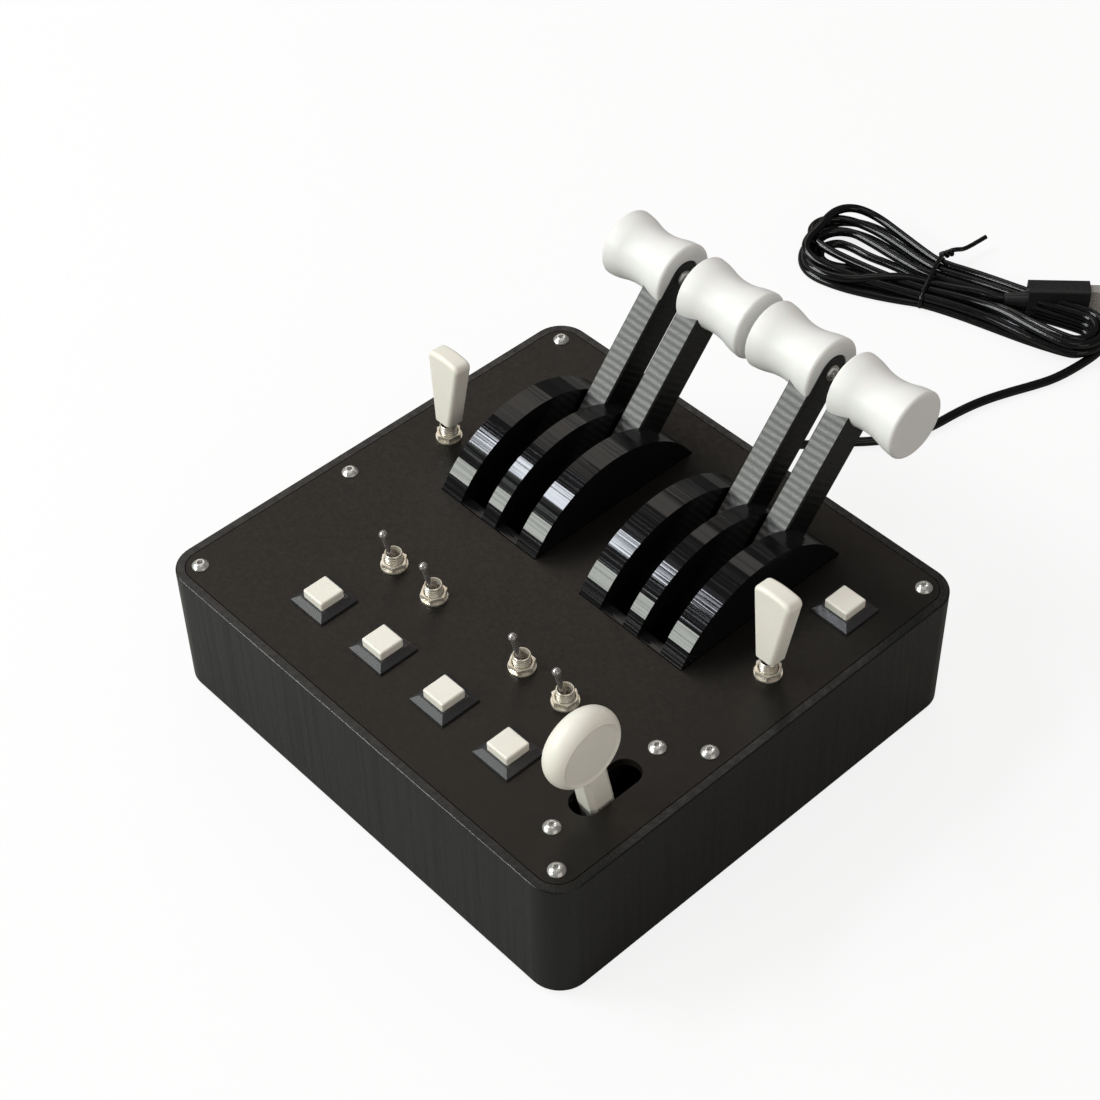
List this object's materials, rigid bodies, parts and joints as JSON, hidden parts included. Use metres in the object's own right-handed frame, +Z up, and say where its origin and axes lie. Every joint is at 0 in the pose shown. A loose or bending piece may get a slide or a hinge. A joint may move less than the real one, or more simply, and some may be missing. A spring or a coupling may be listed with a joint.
{
  "type": "throttle quadrant",
  "caption": "Desk-top throttle quadrant: a low rounded box with fore-and-aft levers in arched guards, push buttons, toggle switches, paddle switches, a disc-headed lever and a tied USB cord.",
  "frame": {"origin": "on the desk under the middle of the box, at the underside of the rubber feet", "axes": "+X to the user's right, +Y away from the user towards the cord, +Z up; the levers turn about X"},
  "size_m": [0.2018, 0.3823, 0.1128],
  "materials": {
    "printed_black": "satin black printed plastic with fine layer lines",
    "panel_black": "warm black panel with a soft sheen",
    "white_plastic": "smooth white plastic",
    "ivory_plastic": "smooth ivory plastic",
    "nickel_plate": "warm nickel plate",
    "stainless": "stainless steel",
    "brass_insert": "knurled brass",
    "foot_rubber": "soft black rubber",
    "bezel_grey": "moulded dark grey",
    "switch_body": "moulded black",
    "shaft_alloy": "turned alloy",
    "circuit_board": "green solder mask",
    "board_part": "moulded black",
    "cord_black": "glossy black soft PVC",
    "plug_metal": "nickel-plated sheet"
  },
  "bodies": {
    "housing": {"base_housing": "printed_black", "board_components": "board_part", "board_screws": "stainless", "button_bezels": "bezel_grey", "button_housings": "switch_body", "cable_gland": "cord_black", "cable_tie": "cord_black", "controller_board": "circuit_board", "flap_bracket": "printed_black", "flap_pin": "stainless", "flap_sensor": "switch_body", "guard_left": "printed_black", "guard_right": "printed_black", "guard_screws": "stainless", "lever_sensors": "switch_body", "panel_screws": "stainless", "pivot_pins": "stainless", "rubber_feet": "foot_rubber", "threaded_inserts": "brass_insert", "toggle_bushings": "nickel_plate", "toggle_housings": "switch_body", "toggle_nuts": "nickel_plate", "toggle_washers": "nickel_plate", "top_panel": "panel_black", "usb_cable": "cord_black", "usb_hank": "cord_black", "usb_plug_grip": "cord_black", "usb_plug_shell": "plug_metal"},
    "lever_1": {"lever_arm_1": "printed_black", "lever_knob_1": "white_plastic", "knob_bolt_1": "stainless", "sensor_shaft_1": "shaft_alloy"},
    "lever_2": {"lever_arm_2": "printed_black", "lever_knob_2": "white_plastic", "knob_bolt_2": "stainless", "sensor_shaft_2": "shaft_alloy"},
    "lever_3": {"lever_arm_3": "printed_black", "lever_knob_3": "white_plastic", "knob_bolt_3": "stainless", "sensor_shaft_3": "shaft_alloy"},
    "lever_4": {"lever_arm_4": "printed_black", "lever_knob_4": "white_plastic", "knob_bolt_4": "stainless", "sensor_shaft_4": "shaft_alloy"},
    "toggle_1": {"toggle_bat_1": "nickel_plate"},
    "toggle_2": {"toggle_bat_2": "nickel_plate"},
    "toggle_3": {"toggle_bat_3": "nickel_plate"},
    "toggle_4": {"toggle_bat_4": "nickel_plate"},
    "paddle_left": {"paddle_bat_left": "nickel_plate", "paddle_cap_left": "ivory_plastic"},
    "paddle_right": {"paddle_bat_right": "nickel_plate", "paddle_cap_right": "ivory_plastic"},
    "button_1": {"button_cap_1": "ivory_plastic"},
    "button_2": {"button_cap_2": "ivory_plastic"},
    "button_3": {"button_cap_3": "ivory_plastic"},
    "button_4": {"button_cap_4": "ivory_plastic"},
    "button_5": {"button_cap_5": "ivory_plastic"},
    "flap": {"flap_lever": "ivory_plastic", "flap_shaft": "shaft_alloy"}
  },
  "joints": [
    {"name": "lever_1_swing", "type": "hinge", "parent": "housing", "child": "lever_1", "pos_m": [-0.043, 0.0363, 0.0305], "axis": [1, 0, 0], "range_deg": [-6, 86]},
    {"name": "lever_2_swing", "type": "hinge", "parent": "housing", "child": "lever_2", "pos_m": [-0.026, 0.0363, 0.0305], "axis": [1, 0, 0], "range_deg": [-6, 86]},
    {"name": "lever_3_swing", "type": "hinge", "parent": "housing", "child": "lever_3", "pos_m": [0.0246, 0.0363, 0.0305], "axis": [1, 0, 0], "range_deg": [-6, 86]},
    {"name": "lever_4_swing", "type": "hinge", "parent": "housing", "child": "lever_4", "pos_m": [0.0416, 0.0363, 0.0305], "axis": [1, 0, 0], "range_deg": [-6, 86]},
    {"name": "toggle_1_flick", "type": "hinge", "parent": "housing", "child": "toggle_1", "pos_m": [-0.0417, -0.0352, 0.052], "axis": [1, 0, 0], "range_deg": [-23, 0]},
    {"name": "toggle_2_flick", "type": "hinge", "parent": "housing", "child": "toggle_2", "pos_m": [-0.0218, -0.0352, 0.052], "axis": [1, 0, 0], "range_deg": [-23, 0]},
    {"name": "toggle_3_flick", "type": "hinge", "parent": "housing", "child": "toggle_3", "pos_m": [0.0204, -0.0352, 0.052], "axis": [1, 0, 0], "range_deg": [-23, 0]},
    {"name": "toggle_4_flick", "type": "hinge", "parent": "housing", "child": "toggle_4", "pos_m": [0.0403, -0.0352, 0.052], "axis": [1, 0, 0], "range_deg": [-23, 0]},
    {"name": "paddle_left_flick", "type": "hinge", "parent": "housing", "child": "paddle_left", "pos_m": [-0.0758, 0.0187, 0.052], "axis": [1, 0, 0], "range_deg": [-7.5, 15.5]},
    {"name": "paddle_right_flick", "type": "hinge", "parent": "housing", "child": "paddle_right", "pos_m": [0.0758, 0.0187, 0.052], "axis": [1, 0, 0], "range_deg": [-7.5, 15.5]},
    {"name": "button_1_press", "type": "slide", "parent": "housing", "child": "button_1", "axis": [0, 0, -1], "range_m": [0, 0.002], "stiffness_N_per_m": 400, "springref_m": -0.002},
    {"name": "button_2_press", "type": "slide", "parent": "housing", "child": "button_2", "axis": [0, 0, -1], "range_m": [0, 0.002], "stiffness_N_per_m": 400, "springref_m": -0.002},
    {"name": "button_3_press", "type": "slide", "parent": "housing", "child": "button_3", "axis": [0, 0, -1], "range_m": [0, 0.002], "stiffness_N_per_m": 400, "springref_m": -0.002},
    {"name": "button_4_press", "type": "slide", "parent": "housing", "child": "button_4", "axis": [0, 0, -1], "range_m": [0, 0.002], "stiffness_N_per_m": 400, "springref_m": -0.002},
    {"name": "button_5_press", "type": "slide", "parent": "housing", "child": "button_5", "axis": [0, 0, -1], "range_m": [0, 0.002], "stiffness_N_per_m": 400, "springref_m": -0.002},
    {"name": "flap_swing", "type": "hinge", "parent": "housing", "child": "flap", "pos_m": [0.0734, -0.0498, 0.0293], "axis": [1, 0, 0], "range_deg": [-29, 7]}
  ]
}
